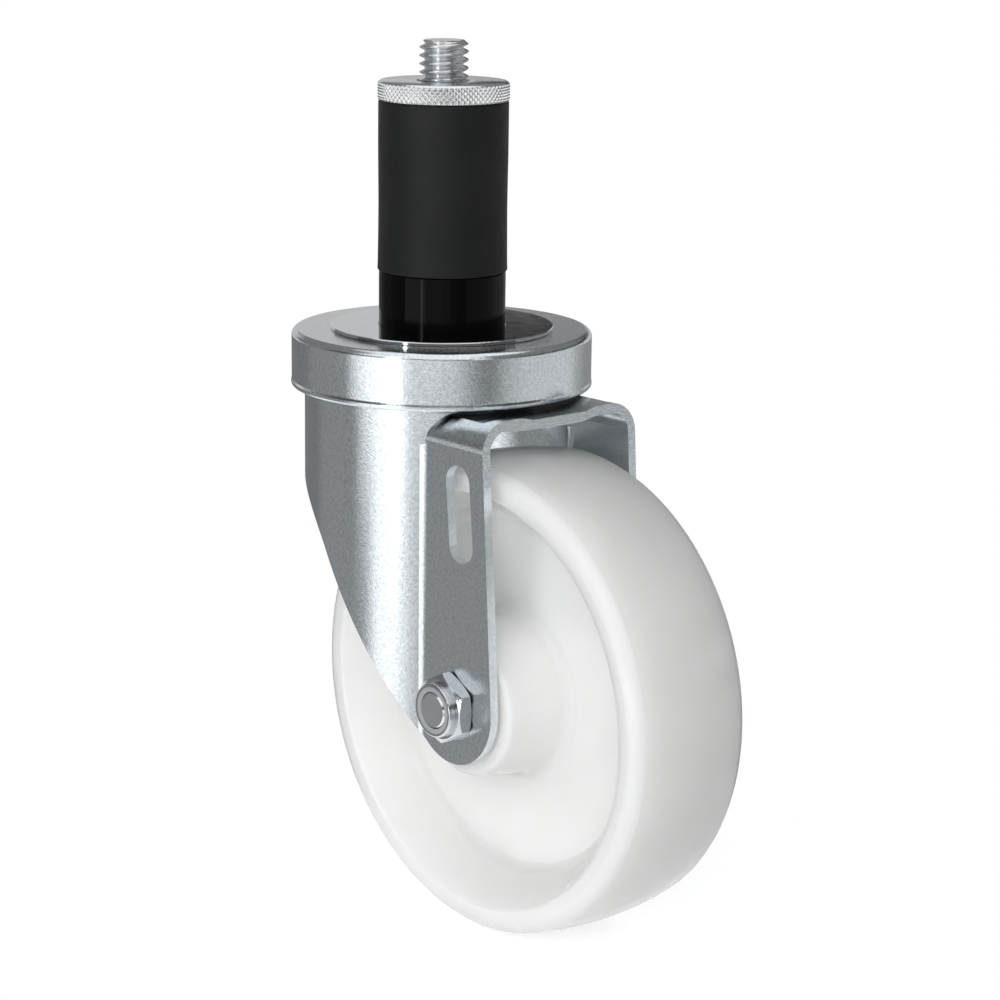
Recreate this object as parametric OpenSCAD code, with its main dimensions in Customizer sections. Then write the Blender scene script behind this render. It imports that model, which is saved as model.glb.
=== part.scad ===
// Swivel castor on an expanding stem, with a white wheel in a pressed fork.
// The origin is on the swivel axis, at the seat for the tube's end.
// +Z runs up the stem and the wheel trails to +X.

/* [Wheel] */
// Diameter over the crown of the tread
wheel_d = 125; // [112:1:136]
// Width of the tread
tread_w = 38; // [32:0.5:41]
// Radius of the tread's crown, side to side
tread_crown_r = 90; // [80:5:200]
// Length of the hub, which sets the space between the fork's legs
hub_len = 45; // [42.5:0.5:50]
// Diameter of the hub at its ends
hub_d = 37; // [30:0.5:42]
// Growth of the hub's radius from its ends to the web
hub_taper = 3; // [1:0.5:5]
// Thickness of the web between the hub and the rim
web_t = 10; // [7:0.5:14]
// Depth of the rim at its sides, measured along the radius
rim_depth = 8.2; // [6.5:0.1:10]
// Slope of the dish's wall, measured along the radius
dish_slope = 7; // [4:0.5:10]

/* [Fork] */
// Thickness of the fork's sheet
sheet_t = 2.5; // [2:0.1:3]
// Gap between the foot of the hood's crease and the axle nut, which sets the wheel's trail
nut_room = 1.2; // [0.5:0.1:6]
// Radius of the legs' round ends
tip_r = 15.2; // [13:0.2:18]
// Forward lean of the legs' front edge, in degrees
front_lean = 3.7; // [2:0.1:6]
// Radius of the curve that sweeps the hood's lower edge into the legs
sweep_r = 48; // [40:1:52]
// Height of the hood at its back, below the bearing cap
hood_h = 18.9; // [14:0.1:24]
// Radius of the bends between the legs and the web
bend_r = 8; // [6:0.5:10]
// Radius in the crease between the hood and the legs
crease_r = 5; // [3:0.5:8]
// Width of the slot in the near leg
slot_w = 9; // [6:0.5:11]
// Length of the slot in the near leg
slot_len = 25; // [16:0.5:28]
// Distance from the wheel's axis up to the slot's middle
slot_rise = 50.2; // [44:0.2:54]

/* [Swivel head] */
// Diameter of the bearing cap
cap_d = 78.4; // [74:0.2:86]
// Height of the bearing cap
cap_h = 14.7; // [13:0.1:17]
// Thickness of the bearing cap's sheet
cap_t = 2.5; // [2:0.1:3]
// Diameter of the cover disc
disc_d = 58.3; // [46:0.1:66]
// Thickness of the cover disc
disc_t = 1; // [0.8:0.1:3]
// Diameter of the upper balls
upper_ball_d = 6; // [5:0.5:6.5]
// Diameter of the circle through the upper balls' centres
upper_pitch_d = 54; // [52:0.5:55]
// Diameter of the lower balls
lower_ball_d = 5; // [4:0.5:5.5]
// Diameter of the circle through the lower balls' centres
lower_pitch_d = 38; // [36:0.5:42]
// Thickness of the lower race
race_t = 2.5; // [2:0.1:3]
// Outside diameter of the king sleeve
king_d = 20; // [18:0.5:22]

/* [Stem] */
// Diameter of the expander bolt's thread
stud_d = 12.7; // [11:0.1:14]
// Length of thread that stands out above the knurled nut
stud_out = 10.3; // [6:0.1:16]
// Distance across the flats of the expander bolt's head
head_af = 19; // [17:0.5:21]
// Height of the expander bolt's head
head_h = 6; // [5:0.1:7]
// Thickness of the washer under the bolt's head
washer_t = 1.5; // [1:0.1:2]
// Diameter of the plastic collar
collar_d = 33; // [28:0.1:33.4]
// Height of the plastic collar
collar_h = 14.3; // [8:0.1:24]
// Diameter of the rubber sleeve
rubber_d = 33.6; // [32:0.1:33.8]
// Height of the rubber sleeve
rubber_h = 43.75; // [30:0.25:60]
// Diameter of the knurled nut
nut_d = 34; // [32:0.1:34]
// Height of the knurled nut
nut_h = 5; // [4:0.1:8]

/* [Axle] */
// Diameter of the axle bolt
axle_d = 9.5; // [8:0.5:10.5]
// Outside diameter of the axle tube
tube_d = 15; // [14:0.5:18]
// Distance across the flats of the axle nut and the axle bolt's head
axle_af = 16; // [15:0.5:18]
// Height of the axle nut's hexagon
axle_nut_h = 4.2; // [3.6:0.1:6]
// Height of the round collar on the axle nut
axle_collar_h = 2.2; // [1.8:0.1:3]

/* [Clearances] */
// Between the wheel's hub and each fork leg
side_gap = 0.75; // [0.4:0.05:1.5]
// Between the wheel and the expander bolt's head
wheel_gap = 3.4; // [1.5:0.1:8]
// Between the bearing cap's rim and the fork's web below it
rim_gap = 1.2; // [0.6:0.1:2]
// Between the bearing cap's skirt and the fork's crown inside it
skirt_gap = 0.9; // [0.6:0.1:1.5]
// Around each ball in its races
ball_gap = 0.12; // [0.1:0.01:0.2]
// Around the axle tube in the wheel's bore
bore_gap = 0.1; // [0.05:0.01:0.2]
// Around the expander bolt in the pieces it passes through
bolt_gap = 0.3; // [0.15:0.05:0.4]
// Around bolts in their nuts and in the fork's axle holes
thread_gap = 0.05; // [0.03:0.01:0.1]

/* [Hidden] */
$fn = 96;

// How far a rounding reaches past the straights that it joins, so that they cross
nip = 0.02;
// How far a cut reaches past the faces that it opens
over = 1;
// How far a shank starts inside its head
shank_root = 0.5;
// Roundings of thin edges and of moulded or turned edges
fine_edge = 0.3;
soft_edge = 0.5;

// Heights of the swivel head, from the seat down
cap_top = -disc_t;
cap_under = cap_top - cap_t;
cap_rim = cap_top - cap_h;
ball_sink = 0.2;
upper_z = cap_under + (ball_sink - 0.5) * upper_ball_d - ball_gap;
crown_top = upper_z + (ball_sink - 0.5) * upper_ball_d - ball_gap;
crown_under = crown_top - sheet_t;
lower_z = crown_under + (ball_sink - 0.5) * lower_ball_d - ball_gap;
race_top = lower_z + (ball_sink - 0.5) * lower_ball_d - ball_gap;
race_under = race_top - race_t;
flange_t = 1.5;
flange_under = race_under - flange_t;
washer_under = flange_under - washer_t;
head_under = washer_under - head_h;

// Radii of the swivel head
cap_r = cap_d / 2;
crown_r = cap_r - cap_t - skirt_gap;
stud_r = stud_d / 2;
king_r = king_d / 2;
king_bore_r = stud_r + bolt_gap;
king_flare = 1.2;
flange_r = king_r + 4;
upper_r = upper_pitch_d / 2;
lower_r = lower_pitch_d / 2;
race_r = lower_r + lower_ball_d / 2 + 3;
race_lip_t = 1.5;
race_lip_h = lower_ball_d / 2;
ball_room = 1.12;
upper_count = floor(360 * PI * upper_r / 180 / (upper_ball_d * ball_room));
lower_count = floor(360 * PI * lower_r / 180 / (lower_ball_d * ball_room));

// Heights of the stem, from the seat up
collar_seat = 0.3;
collar_fit = 0.15;
rubber_z = collar_h;
nut_z = rubber_z + rubber_h;
stud_top = nut_z + nut_h + stud_out;

// Wheel and fork
wheel_r = wheel_d / 2;
axle_z = head_under - wheel_gap - wheel_r;
inner_half = hub_len / 2 + side_gap;
fork_half = inner_half + sheet_t;
crease_foot = sqrt(pow(crown_r + crease_r, 2) - pow(fork_half + crease_r, 2));
trail = crease_foot + axle_af / 2 + nut_room;
axle = [trail, axle_z];
fork_bottom = axle_z - tip_r - over;
web_z = cap_rim - rim_gap;
shoulder_rise = 0.9;
relief_r = cap_r + 8;
crown_edge_r = 4;
crease_fall = 5;
sweep_back = 7.6;
sweep_centre = [-crown_r - sweep_back, cap_rim - hood_h - sweep_r];
sweep_line = axle - sweep_centre;
sweep_turn = atan2(sweep_line[1], sweep_line[0]) + acos((sweep_r + tip_r - 2 * nip) / norm(sweep_line));
sweep_normal = [cos(sweep_turn), sin(sweep_turn)];
lean_normal = [cos(front_lean), sin(front_lean)];
lean_side = [-sin(front_lean), cos(front_lean)];
slot_back = 2.3;
slot_tilt = 5.5;
far = 30;

// Axle
axle_r = axle_d / 2;
tube_r = tube_d / 2;
axle_head_h = 6.4;
axle_nut_top = axle_nut_h + axle_collar_h;
axle_end = fork_half + axle_nut_top;
insert_t = 1.25;
insert_h = 1.5;
insert_sink = 0.2;
nut_collar_step = 1;
nut_collar_r = axle_af / 2 - nut_collar_step;

// Corner i of an outline of [x, y, radius] points that runs anticlockwise
function spot(p, i) = let (q = p[(i + len(p)) % len(p)]) [q[0], q[1]];
function unit(v) = v / norm(v);
function back_way(p, i) = unit(spot(p, i - 1) - spot(p, i));
function next_way(p, i) = unit(spot(p, i + 1) - spot(p, i));
function half_angle(p, i) = acos(back_way(p, i) * next_way(p, i)) / 2;
function bulges(p, i) = cross(-back_way(p, i), next_way(p, i)) > 0;
function run(p, i) = p[i][2] / tan(half_angle(p, i));
function beyond(p, i) = spot(p, i) - unit(back_way(p, i) + next_way(p, i)) * p[i][2] / 2;
function arc_centre(p, i) =
    spot(p, i) + unit(back_way(p, i) + next_way(p, i)) * p[i][2] / sin(half_angle(p, i));

// The piece between corner i and its rounding
module corner_piece(p, i) {
    first_way = bulges(p, i) ? back_way(p, i) : next_way(p, i);
    last_way = bulges(p, i) ? next_way(p, i) : back_way(p, i);
    difference() {
        polygon([spot(p, i) + first_way * run(p, i), beyond(p, i), spot(p, i) + last_way * run(p, i)]);
        translate(arc_centre(p, i))
            circle(p[i][2] + nip);
    }
}

// An outline with its corners rounded, the hollow corners filled in
module rounded(p) {
    last = len(p) - 1;
    difference() {
        union() {
            polygon([for (i = [0 : last]) spot(p, i)]);
            for (i = [0 : last])
                if (p[i][2] > 0 && !bulges(p, i))
                    corner_piece(p, i);
        }
        for (i = [0 : last])
            if (p[i][2] > 0 && bulges(p, i))
                corner_piece(p, i);
    }
}

// A ring on the swivel axis with rounded edges
module ring(r_in, r_out, z_low, z_high, r_low, r_high) {
    rotate_extrude()
        rounded([[r_in, z_low, 0], [r_out, z_low, r_low], [r_out, z_high, r_high], [r_in, z_high, 0]]);
}

// A ring of balls
module balls(count, pitch_r, z, d) {
    for (i = [0 : count - 1])
        rotate(360 * i / count)
            translate([pitch_r, 0, z])
                sphere(d = d);
}

// The groove that a ring of balls runs in
module groove(pitch_r, z, d) {
    translate([0, 0, z])
        rotate_extrude()
            translate([pitch_r, 0])
                circle(d = d + 2 * ball_gap);
}

// A hexagon with its far corners chamfered, standing on z = 0, and with its near corners chamfered by foot
module hexagon(af, h, chamfer, foot = 0) {
    flat_r = af / 2;
    corner_r = flat_r / cos(30);
    face_r = flat_r - fine_edge;
    side_r = corner_r + over;
    low_edge = foot > 0 ? [[face_r, 0], [side_r, foot]] : [[side_r, 0]];
    intersection() {
        cylinder(r = corner_r, h = h, $fn = 6);
        rotate_extrude()
            polygon(concat([[0, 0]], low_edge, [[side_r, h - chamfer], [face_r, h], [0, h]]));
    }
}

// Lays a piece along the axle, its z running to the near leg at -Y
module on_axle(y) {
    translate([trail, y, axle_z])
        rotate([90, 0, 0])
            children();
}

module expander_bolt() {
    end_chamfer = 1;
    head_chamfer = 1;
    thread_depth = 1.2;
    root = washer_under - shank_root;
    color("silver") {
        rotate_extrude()
            polygon([[0, root], [stud_r, root], [stud_r, stud_top - end_chamfer],
                [stud_r - thread_depth, stud_top], [0, stud_top]]);
        translate([0, 0, washer_under])
            mirror([0, 0, 1])
                hexagon(head_af, head_h, head_chamfer);
    }
}

module bolt_washer() {
    washer_rim = 2;
    color("silver")
        ring(stud_r + bolt_gap, head_af / 2 + washer_rim, washer_under, flange_under, fine_edge, fine_edge);
}

module knurled_nut() {
    color("silver")
        ring(stud_r + thread_gap, nut_d / 2, nut_z, nut_z + nut_h, fine_edge, soft_edge);
}

module rubber_sleeve() {
    color("#1c1c1c")
        ring(stud_r + bolt_gap, rubber_d / 2, rubber_z, nut_z, soft_edge, soft_edge);
}

module spacer_collar() {
    color("#0c0c0c")
        ring(stud_r + bolt_gap, collar_d / 2, -collar_seat, rubber_z, 0, soft_edge);
}

module cover_disc() {
    hole_r = stud_r + bolt_gap;
    seat_r = collar_d / 2 + collar_fit;
    color("gainsboro")
        rotate_extrude()
            rounded([[hole_r, cap_top, 0], [disc_d / 2, cap_top, fine_edge], [disc_d / 2, 0, fine_edge],
                [seat_r, 0, 0], [seat_r, -collar_seat, 0], [hole_r, -collar_seat, 0]]);
}

module bearing_cap() {
    shoulder_r = 1.8;
    bead = 0.15;
    bead_h = 1.2;
    bead_r = 0.8;
    bead_top = cap_rim + bead_h;
    skirt_r = cap_r - cap_t;
    color("lightsteelblue")
        difference() {
            rotate_extrude()
                rounded([[king_r, cap_under, 0], [skirt_r, cap_under, soft_edge],
                    [skirt_r, cap_rim, soft_edge], [cap_r + bead, cap_rim, bead_r],
                    [cap_r + bead, bead_top, soft_edge], [cap_r, bead_top + 4 * bead, soft_edge],
                    [cap_r, cap_top, shoulder_r], [king_r, cap_top, 0]]);
            groove(upper_r, upper_z, upper_ball_d);
            translate([0, 0, cap_top - king_flare])
                cylinder(r1 = king_r, r2 = king_r + king_flare, h = king_flare);
        }
}

// The hollow rivet that holds the cap and the lower race together
module king_sleeve() {
    color("silver")
        rotate_extrude()
            rounded([[king_bore_r, flange_under, 0], [flange_r, flange_under, soft_edge],
                [flange_r, race_under, 0], [king_r, race_under, 0], [king_r, cap_top - king_flare, 0],
                [king_r + king_flare, cap_top, 0], [king_bore_r, cap_top, 0]]);
}

module lower_race() {
    bend = 1.5;
    lip_r = race_r - race_lip_t;
    lip_top = race_top + race_lip_h;
    color("silver")
        difference() {
            rotate_extrude()
                rounded([[king_r, race_under, 0], [race_r, race_under, bend], [race_r, lip_top, soft_edge],
                    [lip_r, lip_top, soft_edge], [lip_r, race_top, soft_edge], [king_r, race_top, 0]]);
            groove(lower_r, lower_z, lower_ball_d);
        }
}

module upper_balls() {
    color("gray")
        balls(upper_count, upper_r, upper_z, upper_ball_d);
}

module lower_balls() {
    color("gray")
        balls(lower_count, lower_r, lower_z, lower_ball_d);
}

// The fork's block before it is hollowed, with every face set in by the given amount
module fork_block(inset) {
    r = crown_r - inset;
    half = fork_half - inset;
    base = fork_bottom - inset;
    top = crown_top - inset;
    web = web_z - inset;
    shoulder = web + shoulder_rise;
    bend = bend_r - inset;
    crease = crease_r + inset;
    crease_y = half + crease - nip;
    crease_at = [sqrt(pow(r + crease - nip, 2) - pow(crease_y, 2)), crease_y];
    crease_top = shoulder - bend_r;
    crease_low = crease_top - crease_fall;

    // Hood and crown
    rotate_extrude()
        rounded([[0, base, 0], [r, base, 0], [r, top, crown_edge_r - inset], [0, top, 0]]);

    // Legs and web, dished round the bearing cap
    difference() {
        rotate([90, 0, 90])
            linear_extrude(trail + 2 * far)
                rounded([[-half, base, 0], [half, base, 0], [half, shoulder, bend], [-half, shoulder, bend]]);
        translate([0, 0, web])
            cylinder(r1 = relief_r, r2 = relief_r + 2 * shoulder_rise, h = 2 * shoulder_rise);
    }

    // Creases between the hood and the legs
    intersection() {
        translate([0, 0, base])
            linear_extrude(crease_top - base)
                for (side = [0, 1])
                    mirror([0, side])
                        difference() {
                            polygon([[0, 0], [crease_at[0], 0], crease_at]);
                            translate(crease_at)
                                circle(crease);
                        }
        rotate([90, 0, 90])
            linear_extrude(far + trail)
                polygon([[-half - crease, base], [half + crease, base], [half + crease, crease_low],
                    [half, crease_top], [-half, crease_top], [-half - crease, crease_low]]);
    }
}

// The fork's side view: front edge, round tip, straight rear edge and the sweep up to the hood's back
module fork_outline() {
    front_foot = axle + (tip_r - nip) * lean_normal;
    rear_foot = axle - (tip_r - nip) * sweep_normal;
    rear_top = sweep_centre + (sweep_r - nip) * sweep_normal;
    front_rise = (far - front_foot[1]) / lean_side[1];
    difference() {
        union() {
            polygon([sweep_centre, rear_top, rear_foot, axle, front_foot, front_foot + front_rise * lean_side,
                [-crown_r - far, far], [-crown_r - far, sweep_centre[1]]]);
            translate(axle)
                circle(tip_r);
        }
        translate(sweep_centre)
            circle(sweep_r);
    }
}

module slot_outline() {
    half_run = (slot_len - slot_w) / 2;
    translate(axle + [slot_back, slot_rise])
        rotate(slot_tilt) {
            square([slot_w, 2 * half_run], center = true);
            for (end = [-1, 1])
                translate([0, end * half_run])
                    circle(d = slot_w);
        }
}

module fork() {
    through = 4 * fork_half;
    color("lightsteelblue")
        difference() {
            intersection() {
                difference() {
                    fork_block(0);
                    fork_block(sheet_t);
                }
                rotate([90, 0, 0])
                    linear_extrude(through, center = true)
                        fork_outline();
            }
            rotate([90, 0, 0])
                linear_extrude(through)
                    slot_outline();
            on_axle(0)
                cylinder(r = axle_r + thread_gap, h = through, center = true);
            translate([0, 0, crown_under - over])
                cylinder(r = king_r + skirt_gap, h = sheet_t + 2 * over);
            groove(upper_r, upper_z, upper_ball_d);
            groove(lower_r, lower_z, lower_ball_d);
        }
}

module axle_bolt() {
    end_chamfer = 0.6;
    head_chamfer = 1;
    end = fork_half + axle_end;
    color("silver")
        on_axle(fork_half) {
            rotate_extrude()
                polygon([[0, -shank_root], [axle_r, -shank_root], [axle_r, end - end_chamfer],
                    [axle_r - end_chamfer, end], [0, end]]);
            mirror([0, 0, 1])
                hexagon(axle_af, axle_head_h, head_chamfer);
        }
}

// A self-locking nut, its collar closed over a nylon ring
module axle_nut() {
    nut_chamfer = 1.6;
    nut_foot = 1.2;
    collar_round = 0.6;
    bore_r = axle_r + thread_gap;
    color("silver")
        on_axle(-fork_half)
            difference() {
                union() {
                    rotate(30)
                        hexagon(axle_af, axle_nut_h, nut_chamfer, nut_foot);
                    rotate_extrude()
                        rounded([[0, 0, 0], [nut_collar_r, 0, 0], [nut_collar_r, axle_nut_top, collar_round],
                            [0, axle_nut_top, 0]]);
                }
                translate([0, 0, -over])
                    cylinder(r = bore_r, h = axle_nut_top + 2 * over);
                translate([0, 0, axle_nut_top - insert_h])
                    cylinder(r = bore_r + insert_t, h = insert_h + over);
            }
}

module nut_insert() {
    color("white")
        on_axle(insert_h - axle_end)
            difference() {
                cylinder(r = axle_r + thread_gap + insert_t, h = insert_h - insert_sink);
                translate([0, 0, -over])
                    cylinder(r = axle_r + thread_gap, h = insert_h + 2 * over);
            }
}

module axle_tube() {
    color("silver")
        on_axle(inner_half)
            difference() {
                cylinder(r = tube_r, h = 2 * inner_half);
                translate([0, 0, -over])
                    cylinder(r = axle_r + bolt_gap, h = 2 * inner_half + 2 * over);
            }
}

module wheel() {
    side = tread_w / 2;
    end = hub_len / 2;
    floor_y = web_t / 2;
    hub_r = hub_d / 2;
    hub_root_r = hub_r + hub_taper;
    bore_r = tube_r + bore_gap;
    edge_r = 4;
    rim_edge_r = 1.2;
    hub_edge_r = 1.5;
    dish_edge_r = 4;
    tread_turn = asin((side - edge_r - soft_edge) / tread_crown_r);
    ridge_r = wheel_r + tread_crown_r * (1 / cos(tread_turn) - 1);
    edge_at = ridge_r - side * tan(tread_turn);
    rim_r = wheel_r - rim_depth;
    dish_r = rim_r - dish_slope;
    color("white")
        on_axle(0)
            rotate_extrude()
                rounded([[bore_r, -end, 0], [hub_r, -end, hub_edge_r], [hub_root_r, -floor_y, dish_edge_r],
                    [dish_r, -floor_y, dish_edge_r], [rim_r, -side, rim_edge_r], [edge_at, -side, edge_r],
                    [ridge_r, 0, tread_crown_r], [edge_at, side, edge_r], [rim_r, side, rim_edge_r],
                    [dish_r, floor_y, dish_edge_r], [hub_root_r, floor_y, dish_edge_r],
                    [hub_r, end, hub_edge_r], [bore_r, end, 0]]);
}

expander_bolt();
bolt_washer();
knurled_nut();
rubber_sleeve();
spacer_collar();
cover_disc();
bearing_cap();
king_sleeve();
lower_race();
upper_balls();
lower_balls();
fork();
axle_bolt();
axle_nut();
nut_insert();
axle_tube();
wheel();
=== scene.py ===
"""Looks of the swivel stem castor: materials, thread, knurl, studio and camera."""

import math

import bpy
from mathutils import Matrix, Vector


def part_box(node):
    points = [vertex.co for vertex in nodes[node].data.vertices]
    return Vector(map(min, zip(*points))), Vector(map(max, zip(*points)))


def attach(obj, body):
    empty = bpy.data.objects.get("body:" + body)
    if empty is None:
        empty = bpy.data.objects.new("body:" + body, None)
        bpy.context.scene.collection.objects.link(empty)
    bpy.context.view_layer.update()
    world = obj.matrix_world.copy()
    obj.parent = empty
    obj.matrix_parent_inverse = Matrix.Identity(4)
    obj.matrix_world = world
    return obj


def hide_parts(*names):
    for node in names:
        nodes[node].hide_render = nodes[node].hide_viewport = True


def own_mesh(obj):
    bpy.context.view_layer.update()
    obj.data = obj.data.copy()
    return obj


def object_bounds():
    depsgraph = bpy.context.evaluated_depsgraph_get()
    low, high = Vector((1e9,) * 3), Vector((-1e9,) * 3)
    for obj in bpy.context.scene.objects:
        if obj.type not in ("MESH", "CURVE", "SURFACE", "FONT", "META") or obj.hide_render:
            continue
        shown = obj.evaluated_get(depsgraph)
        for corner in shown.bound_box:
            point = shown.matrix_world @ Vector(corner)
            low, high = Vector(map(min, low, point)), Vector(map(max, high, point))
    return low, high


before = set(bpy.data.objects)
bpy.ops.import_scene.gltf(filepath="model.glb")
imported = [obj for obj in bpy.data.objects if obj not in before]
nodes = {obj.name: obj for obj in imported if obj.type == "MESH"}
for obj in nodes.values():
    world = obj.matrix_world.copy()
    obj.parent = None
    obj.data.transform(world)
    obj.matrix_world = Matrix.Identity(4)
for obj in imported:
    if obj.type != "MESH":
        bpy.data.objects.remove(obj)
cad_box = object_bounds()

TAU = 2 * math.pi
MM = 0.001


# Meshes


def add_mesh(name, verts, faces):
    """A new smooth-shaded object in the scene."""
    mesh = bpy.data.meshes.new(name)
    mesh.from_pydata(verts, [], faces)
    mesh.validate()
    mesh.update()
    mesh.polygons.foreach_set("use_smooth", [True] * len(mesh.polygons))
    obj = bpy.data.objects.new(name, mesh)
    bpy.context.scene.collection.objects.link(obj)
    return obj


def ring(radius, z, columns):
    """Points of a level circle round Z."""
    angles = (TAU * j / columns for j in range(columns))
    return [(radius * math.cos(t), radius * math.sin(t), z) for t in angles]


def band(a, b, columns):
    """Faces between two rings of points that start at the indices a and b."""
    faces = []
    for j in range(columns):
        k = (j + 1) % columns
        faces.append((a + j, a + k, b + k, b + j))
    return faces


def grid_faces(rows, columns):
    """Faces of an open tube of rows of points, each row with the same number of columns."""
    faces = []
    for i in range(rows - 1):
        faces += band(i * columns, (i + 1) * columns, columns)
    return faces


def closed_faces(rows, columns):
    """Faces of such a tube whose last row is joined to its first."""
    return grid_faces(rows, columns) + band((rows - 1) * columns, 0, columns)


def arc(centre_r, centre_z, radius, start, end, steps):
    """Points of an arc in the profile's plane, angles in degrees from the outward radius."""
    points = []
    for i in range(steps + 1):
        t = math.radians(start + (end - start) * i / steps)
        points.append((centre_r + radius * math.cos(t), centre_z + radius * math.sin(t)))
    return points


def sharpen(obj, degrees):
    """Smooth shading with hard edges above an angle."""
    obj.data.set_sharp_from_angle(angle=math.radians(degrees))


# Material helpers


def new_material(name):
    mat = bpy.data.materials.new(name)
    mat.use_nodes = True
    tree = mat.node_tree
    return mat, tree, tree.nodes["Principled BSDF"]


def noise(tree, scale, detail, rough=0.55):
    """A noise texture that keeps its place on the object."""
    coord = tree.nodes.new("ShaderNodeTexCoord")
    tex = tree.nodes.new("ShaderNodeTexNoise")
    tex.inputs["Scale"].default_value = scale
    tex.inputs["Detail"].default_value = detail
    tex.inputs["Roughness"].default_value = rough
    tree.links.new(coord.outputs["Object"], tex.inputs["Vector"])
    return tex


def ramp(tree, source, low, high, start=0.3, end=0.7):
    """A colour ramp from low to high as the source goes from start to end."""
    node = tree.nodes.new("ShaderNodeValToRGB")
    node.color_ramp.elements[0].position = start
    node.color_ramp.elements[0].color = (*low, 1)
    node.color_ramp.elements[1].position = end
    node.color_ramp.elements[1].color = (*high, 1)
    tree.links.new(source, node.inputs["Fac"])
    return node.outputs["Color"]


def add_colour_clouds(tree, low, high, scale):
    """A colour that drifts between low and high."""
    cloud = noise(tree, scale, detail=4)
    return ramp(tree, cloud.outputs["Fac"], low, high)


def add_uneven_gloss(tree, shader, patch, rough):
    """Roughness between two values, over the middle half of a noise."""
    node = tree.nodes.new("ShaderNodeMapRange")
    node.inputs["From Min"].default_value = 0.25
    node.inputs["From Max"].default_value = 0.75
    node.inputs["To Min"].default_value = rough[0]
    node.inputs["To Max"].default_value = rough[1]
    tree.links.new(patch.outputs["Fac"], node.inputs["Value"])
    tree.links.new(node.outputs["Result"], shader.inputs["Roughness"])


def add_grain(tree, shader, layers):
    """Stacked bumps of (noise scale, strength, distance in metres)."""
    last = None
    for scale, strength, distance in layers:
        tex = noise(tree, scale, detail=2)
        node = tree.nodes.new("ShaderNodeBump")
        node.inputs["Strength"].default_value = strength
        node.inputs["Distance"].default_value = distance
        tree.links.new(tex.outputs["Fac"], node.inputs["Height"])
        if last:
            tree.links.new(last.outputs["Normal"], node.inputs["Normal"])
        last = node
    tree.links.new(last.outputs["Normal"], shader.inputs["Normal"])


def paint_crevice_shade(tree, colour, reach):
    """The colour with painted shade: darker where the surface lies deep in a gap, with reach in metres."""
    shade = tree.nodes.new("ShaderNodeAmbientOcclusion")
    shade.samples = 8
    shade.inputs["Distance"].default_value = reach
    # Painted shade: near black deep in gaps, with the colour left as it is in the open.
    painted_shade, unshaded = (0.03, 0.03, 0.03), (1, 1, 1)
    shade_ramp = ramp(tree, shade.outputs["AO"], painted_shade, unshaded, start=0.18, end=0.55)
    mix = tree.nodes.new("ShaderNodeMix")
    mix.data_type = "RGBA"
    mix.blend_type = "MULTIPLY"
    mix.inputs["Factor"].default_value = 1.0
    tree.links.new(colour, mix.inputs["A"])
    tree.links.new(shade_ramp, mix.inputs["B"])
    return mix.outputs["Result"]


def metal(name, low, high, rough, grain, cloud_scale=90, shade_reach=None):
    """Plated metal with a cloudy colour, uneven gloss and grain, and painted shade that darkens it in gaps
    within the shade reach.
    """
    mat, tree, shader = new_material(name)
    shader.inputs["Metallic"].default_value = 1.0
    colour = add_colour_clouds(tree, low, high, cloud_scale)
    # Painted shade: the colour darkens in gaps, where shade falls.
    if shade_reach:
        colour = paint_crevice_shade(tree, colour, shade_reach)
    tree.links.new(colour, shader.inputs["Base Color"])
    patch_scale = cloud_scale * 2.6
    add_uneven_gloss(tree, shader, noise(tree, patch_scale, detail=5, rough=0.6), rough)
    add_grain(tree, shader, grain)
    return mat


def plastic(name, low, high, rough, grain, specular=0.5):
    """Moulded plastic or rubber with a slightly cloudy colour, uneven gloss and grain."""
    cloud_scale = 60
    mat, tree, shader = new_material(name)
    shader.inputs["Specular IOR Level"].default_value = specular
    tree.links.new(add_colour_clouds(tree, low, high, cloud_scale), shader.inputs["Base Color"])
    patch_scale = cloud_scale * 3.1
    add_uneven_gloss(tree, shader, noise(tree, patch_scale, detail=4), rough)
    add_grain(tree, shader, grain)
    return mat


def let_light_in(mat, radius, scale):
    """Light that spreads under the surface, by a radius for each colour times a scale in metres."""
    shader = mat.node_tree.nodes["Principled BSDF"]
    shader.inputs["Subsurface Weight"].default_value = 1.0
    shader.inputs["Subsurface Radius"].default_value = radius
    shader.inputs["Subsurface Scale"].default_value = scale


def dress(obj, mat):
    """Give the object this material alone."""
    obj.data.materials.clear()
    obj.data.materials.append(mat)


# Materials

zinc_sheet = metal(
    "zinc_sheet",
    low=(0.68, 0.73, 0.76),
    high=(0.86, 0.91, 0.94),
    rough=(0.12, 0.17),
    grain=[(350, 0.12, 0.00006), (2600, 1.0, 0.00004)],
    cloud_scale=1200,
    # painted shade in gaps within 6 mm
    shade_reach=0.006,
)
zinc_steel = metal(
    "zinc_steel",
    low=(0.78, 0.80, 0.82),
    high=(0.86, 0.88, 0.90),
    rough=(0.16, 0.24),
    grain=[(900, 0.4, 0.00002)],
    cloud_scale=140,
    # painted shade in gaps within 0.8 mm
    shade_reach=0.0008,
)
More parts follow.
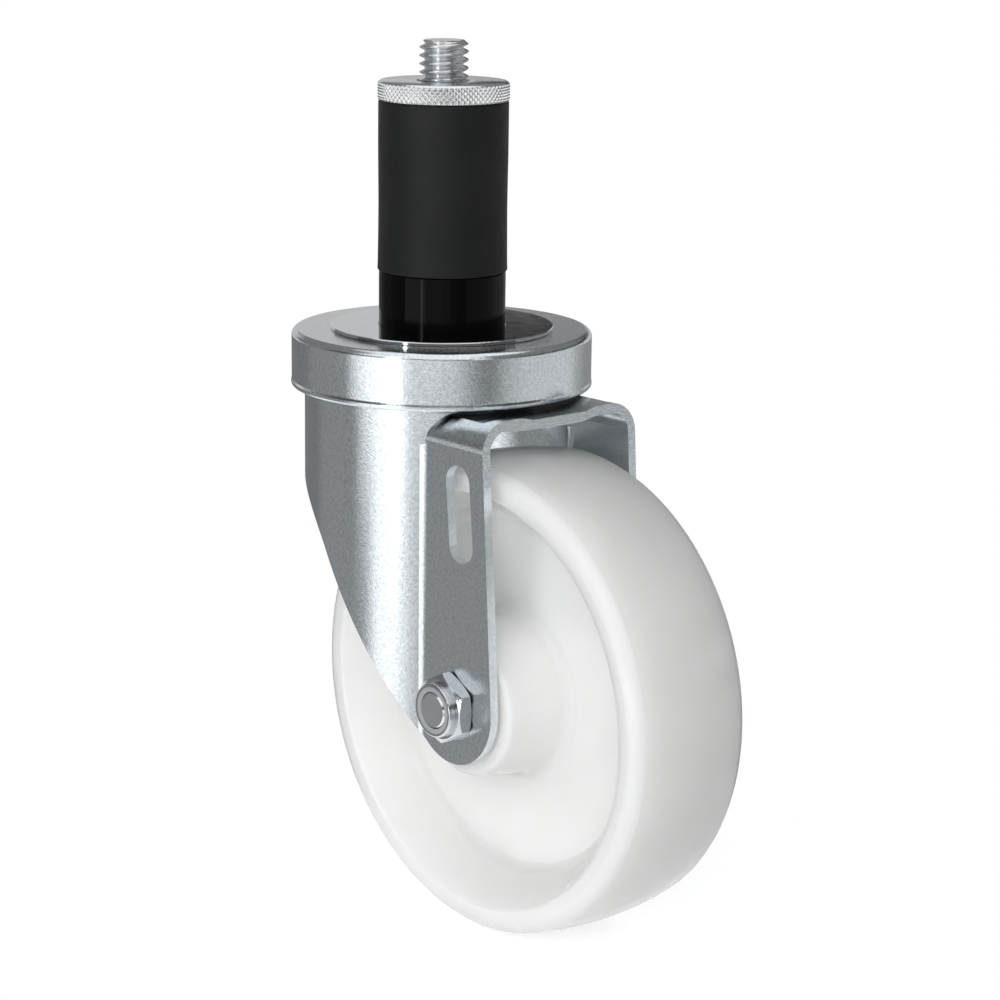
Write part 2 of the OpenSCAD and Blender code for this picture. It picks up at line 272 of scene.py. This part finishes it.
# Painted shade: a darker copy of zinc_steel, so that the axle nut's flats render darker.
shaded_nut_steel = metal(
    "shaded_nut_steel",
    low=(0.55, 0.57, 0.59),
    high=(0.66, 0.68, 0.70),
    rough=(0.14, 0.22),
    grain=[(900, 0.5, 0.00003)],
    cloud_scale=140,
)
polished_steel = metal(
    "polished_steel",
    low=(0.78, 0.80, 0.82),
    high=(0.84, 0.86, 0.88),
    rough=(0.05, 0.09),
    grain=[(400, 0.10, 0.00001)],
)
ball_steel = metal(
    "ball_steel",
    low=(0.72, 0.73, 0.75),
    high=(0.78, 0.79, 0.81),
    rough=(0.05, 0.09),
    grain=[(500, 0.1, 0.00001)],
)
black_rubber = plastic(
    "black_rubber",
    low=(0.0045, 0.005, 0.0055),
    high=(0.0075, 0.008, 0.0085),
    rough=(0.48, 0.60),
    grain=[(700, 0.3, 0.00003), (2600, 0.6, 0.00002)],
    specular=0.30,
)
black_plastic = plastic(
    "black_plastic",
    low=(0.0012, 0.0013, 0.0015),
    high=(0.0020, 0.0021, 0.0023),
    rough=(0.08, 0.13),
    grain=[(500, 0.15, 0.00001)],
    specular=0.08,
)
white_nylon = plastic(
    "white_nylon",
    low=(0.795, 0.795, 0.785),
    high=(0.815, 0.815, 0.805),
    rough=(0.11, 0.16),
    grain=[(160, 0.15, 0.00003), (1500, 0.2, 0.00001)],
)
let_light_in(white_nylon, radius=(1.0, 0.95, 0.9), scale=0.015)
nylon_insert = plastic(
    "nylon_insert",
    low=(0.30, 0.31, 0.32),
    high=(0.40, 0.41, 0.42),
    rough=(0.35, 0.5),
    grain=[(900, 0.3, 0.00002)],
)

finishes = {
    "bolt_washer": zinc_steel,
    "spacer_collar": black_plastic,
    "cover_disc": polished_steel,
    "bearing_cap": zinc_sheet,
    "king_sleeve": zinc_steel,
    "lower_race": zinc_steel,
    "upper_balls": ball_steel,
    "lower_balls": ball_steel,
    "fork": zinc_sheet,
    "axle_bolt": zinc_steel,
    # the axle nut gets zinc_steel darkened as painted shade
    "axle_nut": shaded_nut_steel,
    "nut_insert": nylon_insert,
    "axle_tube": zinc_steel,
    "wheel": white_nylon,
}
for node_name, finish in finishes.items():
    dress(nodes[node_name], finish)


# Expander bolt with its thread

bolt_low, bolt_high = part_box("expander_bolt")
nut_low, nut_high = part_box("knurled_nut")
rubber_low, rubber_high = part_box("rubber_sleeve")
washer_low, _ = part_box("bolt_washer")
CREST_R = 6.35 * MM
ROOT_R = 5.0 * MM
PITCH = 2.117 * MM
THREAD_START = 0.044
THREAD_PHASE = 0.864
HEAD_H = washer_low.z - bolt_low.z
HEAD_FLATS_R = 9.5 * MM
HEAD_CHAMFER = 1.0 * MM


def thread_radius(turn_share):
    """Radius over one pitch of a rounded 60-degree thread, turn_share from 0 to 1."""
    flat_crest, flat_root = 0.14, 0.18
    straight, eased = 0.6, 0.4
    d = abs((turn_share % 1.0) - 0.5) * 2
    flank = min(max((d - flat_root) / (1 - flat_crest - flat_root), 0), 1)
    ease = flank * flank * (3 - 2 * flank)
    return ROOT_R + (CREST_R - ROOT_R) * (straight * flank + eased * ease)


def make_bolt():
    """Plain shank, thread with a run-in, chamfered tip and hexagon head."""
    columns = 96
    rows_per_pitch = 14
    tip_chamfer, tip_slope, tip_inset = 1.0 * MM, 1.2, 1.9 * MM
    top = bolt_high.z
    span = top - THREAD_START
    rows = int(round(span / PITCH * rows_per_pitch))
    verts = ring(CREST_R, washer_low.z, columns)
    for i in range(rows + 1):
        z = THREAD_START + span * i / rows
        limit = CREST_R - max(0.0, z - (top - tip_chamfer)) * tip_slope
        run_in = min(1.0, (z - THREAD_START) / PITCH)
        for j in range(columns):
            t = TAU * j / columns
            r = thread_radius(z / PITCH - t / TAU + THREAD_PHASE)
            r = CREST_R + (r - CREST_R) * run_in
            r = min(r, limit)
            verts.append((r * math.cos(t), r * math.sin(t), z))
    faces = grid_faces(rows + 2, columns)
    last = (rows + 1) * columns
    first = len(verts)
    verts += ring(CREST_R - tip_inset, top, columns)
    faces += band(last, first, columns)
    faces.append(tuple(first + j for j in range(columns)))
    add_hex_head(verts, faces)
    obj = add_mesh("threaded_bolt", verts, faces)
    sharpen(obj, degrees=50)
    return obj


def add_hex_head(verts, faces):
    """The bolt's hexagon head, hanging under the washer, with its lower corners turned down."""
    half_side = math.pi / 6
    corner_r = HEAD_FLATS_R / math.cos(half_side)
    face_inset = 0.3 * MM
    corner_fall = 0.75
    columns_per_side = 16
    columns = 6 * columns_per_side
    levels = [(0.0, False), (-(HEAD_H - HEAD_CHAMFER), False), (-HEAD_H, True)]
    first = len(verts)
    for drop, round_face in levels:
        for j in range(columns):
            t = TAU * j / columns
            from_corner = (t + half_side) % (2 * half_side) - half_side
            r = HEAD_FLATS_R / math.cos(half_side - abs(from_corner))
            z = washer_low.z + drop
            if round_face:
                r = HEAD_FLATS_R - face_inset
            elif drop:
                z -= (corner_r - r) / (corner_r - HEAD_FLATS_R) * HEAD_CHAMFER * corner_fall
            verts.append((r * math.cos(t), r * math.sin(t), z))
    end = first + (len(levels) - 1) * columns
    for a in range(first, end, columns):
        faces += band(a + columns, a, columns)
    faces.append(tuple(end + j for j in reversed(range(columns))))
    faces.append(tuple(first + j for j in range(columns)))


bolt = make_bolt()
dress(bolt, zinc_steel)
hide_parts("expander_bolt")
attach(bolt, "clamp_bolt")


# Knurled nut

KNURL_COUNT = 72
KNURL_DEPTH = 0.5 * MM
KNURL_STEEPNESS = 1.15
NUT_R = 17.05 * MM
NUT_BORE_R = 6.4 * MM


def knurl_height(t, z, tangent_pitch):
    """Height of a diamond knurl, 0 to 1: two families of grooves that cross, with flat bottoms."""
    around = t / TAU * KNURL_COUNT
    along = z / tangent_pitch
    height = 1.0
    for lean in (1, -1):
        share = (around + lean * along) % 1.0
        height = min(height, abs(share - 0.5) * 2)
    return 1.0 - min(1.0, KNURL_STEEPNESS - height * KNURL_STEEPNESS)


def nut_rows():
    """The nut's profile from its bore round the outside, as (radius, z, share of the knurl)."""
    low, high = nut_low.z, nut_high.z
    knurl_rows = 34
    face_inset = 0.75 * MM
    foot_inset, foot_rise = 0.45 * MM, 0.02 * MM
    top_inset, top_drop = 0.55 * MM, 0.12 * MM
    knurl_rise, knurl_drop = 0.25 * MM, 0.45 * MM
    fade_drop, fade_length = 0.27 * MM, 0.5 * MM
    countersink_width, countersink_depth = 0.7 * MM, 0.6 * MM
    rows = [
        (NUT_BORE_R, low, 0),
        (NUT_R - face_inset, low, 0),
        (NUT_R - foot_inset, low + foot_rise, 0),
    ]
    for i in range(knurl_rows + 1):
        z = low + knurl_rise + (high - low - knurl_rise - knurl_drop) * i / knurl_rows
        fade = min(1.0, (z - low) / fade_length, (high - fade_drop - z) / fade_length)
        rows.append((NUT_R, z, fade))
    rows += [
        (NUT_R - top_inset, high - top_drop, 0),
        (NUT_R - face_inset, high, 0),
        (NUT_BORE_R + countersink_width, high, 0),
        (NUT_BORE_R, high - countersink_depth, 0),
    ]
    return rows


def make_nut():
    """The nut, with its knurl cut by a diamond pattern that fades into a rounding at both ends."""
    columns = KNURL_COUNT * 10
    end_rounding = 0.3 * MM
    tangent_pitch = TAU * NUT_R / KNURL_COUNT
    rows = nut_rows()
    verts = []
    for r, z, fade in rows:
        for j in range(columns):
            t = TAU * j / columns
            radius = r
            if fade:
                cut = KNURL_DEPTH * (1 - knurl_height(t, z - nut_low.z, tangent_pitch))
                radius -= max(cut * fade, (1 - fade) * end_rounding)
            verts.append((radius * math.cos(t), radius * math.sin(t), z))
    obj = add_mesh("knurled_nut_turned", verts, closed_faces(len(rows), columns))
    sharpen(obj, degrees=35)
    return obj


nut = make_nut()
dress(nut, zinc_steel)
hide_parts("knurled_nut")
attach(nut, "clamp_nut")


# Rubber sleeve, drawn in at its middle and lipped at its foot

RUBBER_R = 16.8 * MM
RUBBER_BORE_R = 6.65 * MM


def rubber_profile():
    """The sleeve's profile from its bore round the outside, as (radius, z)."""
    low, high = rubber_low.z, rubber_high.z
    span = high - low
    foot_inset, foot_round, foot_centre = 0.5 * MM, 0.45 * MM, 0.35 * MM
    top_round = 0.5 * MM
    swell, lip_length, waist_rate = 0.12 * MM, 1.6 * MM, 1.3
    count, arc_steps = 40, 5
    profile = [(RUBBER_BORE_R, low), (RUBBER_R - foot_inset, low)]
    profile += arc(RUBBER_R - foot_centre, low + foot_round, foot_round, start=-80, end=0, steps=arc_steps)
    for i in range(1, count):
        s = i / count
        lip = swell * math.exp(-s * span / lip_length)
        waist = swell * math.sin(math.pi * min(1, s * waist_rate)) ** 2
        profile.append((RUBBER_R + (lip - waist), low + span * s))
    profile += arc(RUBBER_R - top_round, high - top_round, top_round, start=0, end=85, steps=arc_steps)
    profile.append((RUBBER_BORE_R, high))
    return profile


def make_rubber():
    columns = 128
    profile = rubber_profile()
    verts = []
    for r, z in profile:
        verts += ring(r, z, columns)
    obj = add_mesh("rubber_tube", verts, closed_faces(len(profile), columns))
    sharpen(obj, degrees=40)
    return obj


rubber = make_rubber()
dress(rubber, black_rubber)
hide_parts("rubber_sleeve")
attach(rubber, "stem_head")
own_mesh(rubber)


# Camera at the photograph's angle, with its focal length in the photograph's pixels

CAMERA_AT = Vector((0.56033, -0.46549, 0.12661))
AZIMUTH, ELEVATION, ROLL = (math.radians(a) for a in (49.044, 13.422, 0.736))
FOCAL_PX = 2825.884
PHOTO_PX = 1000
SENSOR_MM = 36


def make_camera():
    back = Vector(
        (
            math.sin(AZIMUTH) * math.cos(ELEVATION),
            -math.cos(AZIMUTH) * math.cos(ELEVATION),
            math.sin(ELEVATION),
        )
    )
    right = Vector((math.cos(AZIMUTH), math.sin(AZIMUTH), 0))
    up = back.cross(right)
    side = right * math.cos(ROLL) + up * math.sin(ROLL)
    rise = up * math.cos(ROLL) - right * math.sin(ROLL)
    data = bpy.data.cameras.new("camera")
    data.sensor_width = SENSOR_MM
    data.lens = SENSOR_MM * FOCAL_PX / PHOTO_PX
    data.clip_start = 0.01
    camera = bpy.data.objects.new("camera", data)
    camera.matrix_world = Matrix(
        (
            (side.x, rise.x, back.x, CAMERA_AT.x),
            (side.y, rise.y, back.y, CAMERA_AT.y),
            (side.z, rise.z, back.z, CAMERA_AT.z),
            (0, 0, 0, 1),
        )
    )
    bpy.context.scene.collection.objects.link(camera)
    bpy.context.scene.camera = camera


make_camera()


# Studio: world, floor, panels and lamps

WORLD_FILL = 0.22
WORLD_TINT = (0.96, 0.98, 1.0, 1)
FLOOR_GAP = 0.0002
FLOOR_AT = Vector((0.03, 0.0, cad_box[0][2] - FLOOR_GAP))
FLOOR_R = 0.14
FLOOR_FADE_FROM, FLOOR_FADE_TO = 0.06, FLOOR_R - 0.005
FLOOR_GREY = (0.8, 0.8, 0.8, 1)
FLOOR_GLOW = 0.6
PANEL_R = 1.6
FACET_DEGREES = 4
# Heights that the panels start and end at
FOOT, HEAD, STEM, STEM_MID, EYE, HIGH, TOP = -0.9, -0.36, -0.16, -0.09, 0.0, 0.25, 0.55
GLINT_TOP, SKY = 0.9, 2.4
GLINT_R = 1.55
LAMP_TARGET = Vector((0.02, 0, -0.06))
LAMP_DISTANCE = 1.3
LAMP_SIZE = 1.2


def camera_or_mirror(tree):
    """1 on camera, glossy and transmission rays, and 0 on the rest."""
    path = tree.nodes.new("ShaderNodeLightPath")
    total = path.outputs["Is Camera Ray"]
    for name in ("Is Glossy Ray", "Is Transmission Ray"):
        most = tree.nodes.new("ShaderNodeMath")
        most.operation = "MAXIMUM"
        tree.links.new(total, most.inputs[0])
        tree.links.new(path.outputs[name], most.inputs[1])
        total = most.outputs["Value"]
    return total


def make_world():
    """White to the camera and in reflections, and a weak fill light on the object."""
    world = bpy.data.worlds.new("studio")
    world.use_nodes = True
    tree = world.node_tree
    shown = tree.nodes["Background"]
    shown.inputs["Color"].default_value = (1, 1, 1, 1)
    shown.inputs["Strength"].default_value = 1.0
    fill = tree.nodes.new("ShaderNodeBackground")
    fill.inputs["Color"].default_value = WORLD_TINT
    fill.inputs["Strength"].default_value = WORLD_FILL
    mix = tree.nodes.new("ShaderNodeMixShader")
    tree.links.new(camera_or_mirror(tree), mix.inputs["Fac"])
    tree.links.new(fill.outputs["Background"], mix.inputs[1])
    tree.links.new(shown.outputs["Background"], mix.inputs[2])
    tree.links.new(mix.outputs["Shader"], tree.nodes["World Output"].inputs["Surface"])
    bpy.context.scene.world = world


def empty_material(name):
    """A material with no shader yet, its node tree and the socket that takes one."""
    mat, tree, shader = new_material(name)
    tree.nodes.remove(shader)
    return mat, tree, tree.nodes["Material Output"].inputs["Surface"]


def fade_from_middle(tree):
    """0 near the floor's middle, rising to 1 just inside its edge."""
    coord = tree.nodes.new("ShaderNodeTexCoord")
    place = tree.nodes.new("ShaderNodeMapping")
    place.inputs["Location"].default_value = -FLOOR_AT
    length = tree.nodes.new("ShaderNodeVectorMath")
    length.operation = "LENGTH"
    fade = tree.nodes.new("ShaderNodeMapRange")
    fade.interpolation_type = "SMOOTHSTEP"
    fade.inputs["From Min"].default_value = FLOOR_FADE_FROM
    fade.inputs["From Max"].default_value = FLOOR_FADE_TO
    tree.links.new(coord.outputs["Object"], place.inputs["Vector"])
    tree.links.new(place.outputs["Vector"], length.inputs[0])
    tree.links.new(length.outputs["Value"], fade.inputs["Value"])
    return fade.outputs["Result"]


def floor_material():
    mat, tree, surface = empty_material("floor")
    matt = tree.nodes.new("ShaderNodeBsdfDiffuse")
    matt.inputs["Color"].default_value = FLOOR_GREY
    glow = tree.nodes.new("ShaderNodeEmission")
    scaled = tree.nodes.new("ShaderNodeMath")
    scaled.operation = "MULTIPLY"
    scaled.inputs[1].default_value = FLOOR_GLOW
    tree.links.new(camera_or_mirror(tree), scaled.inputs[0])
    tree.links.new(scaled.outputs["Value"], glow.inputs["Strength"])
    both = tree.nodes.new("ShaderNodeAddShader")
    tree.links.new(matt.outputs["BSDF"], both.inputs[0])
    tree.links.new(glow.outputs["Emission"], both.inputs[1])
    clear = tree.nodes.new("ShaderNodeBsdfTransparent")
    mix = tree.nodes.new("ShaderNodeMixShader")
    tree.links.new(fade_from_middle(tree), mix.inputs["Fac"])
    tree.links.new(both.outputs["Shader"], mix.inputs[1])
    tree.links.new(clear.outputs["BSDF"], mix.inputs[2])
    tree.links.new(mix.outputs["Shader"], surface)
    return mat


def make_floor():
    """A pale round floor that fades out into the white background."""
    columns = 96
    verts = [tuple(FLOOR_AT)]
    verts += [tuple(FLOOR_AT + Vector(point)) for point in ring(FLOOR_R, 0.0, columns)]
    faces = [(0, 1 + j, 1 + (j + 1) % columns) for j in range(columns)]
    floor = add_mesh("floor", verts, faces)
    dress(floor, floor_material())


def panel(name, start, end, low, high, level, radius=PANEL_R):
    """A curved glowing panel from start to end degrees about Z, seen only in reflections."""
    steps = max(2, int((end - start) / FACET_DEGREES))
    verts, faces = [], []
    for i in range(steps + 1):
        t = math.radians(start + (end - start) * i / steps)
        for z in (low, high):
            verts.append((radius * math.cos(t), radius * math.sin(t), z))
    for i in range(steps):
        a = 2 * i
        faces.append((a + 2, a, a + 1, a + 3))
    obj = add_mesh(name, verts, faces)
    mat, tree, surface = empty_material(name)
    glow = tree.nodes.new("ShaderNodeEmission")
    glow.inputs["Strength"].default_value = level
    tree.links.new(glow.outputs["Emission"], surface)
    dress(obj, mat)
    obj.visible_camera = False
    obj.visible_diffuse = False


def panel_ring(name, low, high, strips):
    """Panels of one height side by side, each strip with its start, end and level."""
    for i, (start, end, level) in enumerate(strips):
        panel(f"{name}_{i}", start, end, low, high, level)


def soft_lamp(name, azimuth, elevation, power, shadow=True):
    """A large soft lamp that lights the object and stays out of reflections."""
    light = bpy.data.lights.new(name, "AREA")
    light.shape = "SQUARE"
    light.size = LAMP_SIZE
    light.energy = power
    light.use_shadow = shadow
    a, e = math.radians(azimuth), math.radians(elevation)
    way = Vector((math.cos(a) * math.cos(e), math.sin(a) * math.cos(e), math.sin(e)))
    lamp = bpy.data.objects.new(name, light)
    lamp.location = LAMP_TARGET + way * LAMP_DISTANCE
    lamp.rotation_euler = way.to_track_quat("Z", "Y").to_euler()
    lamp.visible_glossy = False
    bpy.context.scene.collection.objects.link(lamp)


make_world()
make_floor()

# What the fork reflects
panel_ring(
    "low",
    FOOT,
    HEAD,
    [
        (80, 139, 0.25),
        (139, 198, 0.19),
        (198, 262, 0.27),
        (262, 287, 1.2),
        (287, 293, 0.95),
        (293, 300, 0.75),
        (300, 330, 0.45),
        (330, 345, 0.6),
        (345, 380, 0.35),
        (20, 80, 0.65),
    ],
)
# What the bearing cap reflects
panel_ring(
    "head",
    HEAD,
    STEM,
    [
        (95, 139, 0.28),
        (139, 200, 0.19),
        (200, 236, 0.25),
        (236, 250, 0.18),
        (250, 291, 1.45),
        (291, 303, 0.68),
        (303, 320, 0.84),
        (320, 334, 0.60),
        (334, 346, 0.34),
        (346, 365, 0.17),
        (5, 80, 0.62),
        (80, 95, 0.42),
    ],
)
# What the stem reflects
panel_ring(
    "stem",
    STEM,
    EYE,
    [
        (95, 170, 0.6),
        (235, 290, 0.95),
        (290, 335, 1.3),
        (335, 362, 0.2),
        (2, 95, 0.15),
    ],
)
panel_ring("high", EYE, TOP, [(139, 175, 0.56), (175, 225, 0.2), (225, 400, 0.08)])
panel("stem_left_low", 170, 235, STEM, STEM_MID, 0.25)
panel("stem_left", 170, 235, STEM_MID, EYE, 0.95)
# A narrow bright strip that glossy plastic mirrors as a thin line
panel("glint", 282.5, 284, HEAD, GLINT_TOP, 10, GLINT_R)
# What the cover disc and the cap's upper face reflect
panel("back_mid", 40, 139, EYE, HIGH, 0.6)
panel("back_high", 40, 139, HIGH, TOP, 0.035)
panel("back_top", 0, 250, TOP, SKY, 0.2)

soft_lamp("lamp_key", azimuth=299, elevation=10, power=8.5)
soft_lamp("lamp_fill", azimuth=304, elevation=14, power=9, shadow=False)
soft_lamp("lamp_top", azimuth=300, elevation=65, power=2)
soft_lamp("lamp_back", azimuth=150, elevation=10, power=9)

bpy.context.scene.view_settings.view_transform = "Standard"
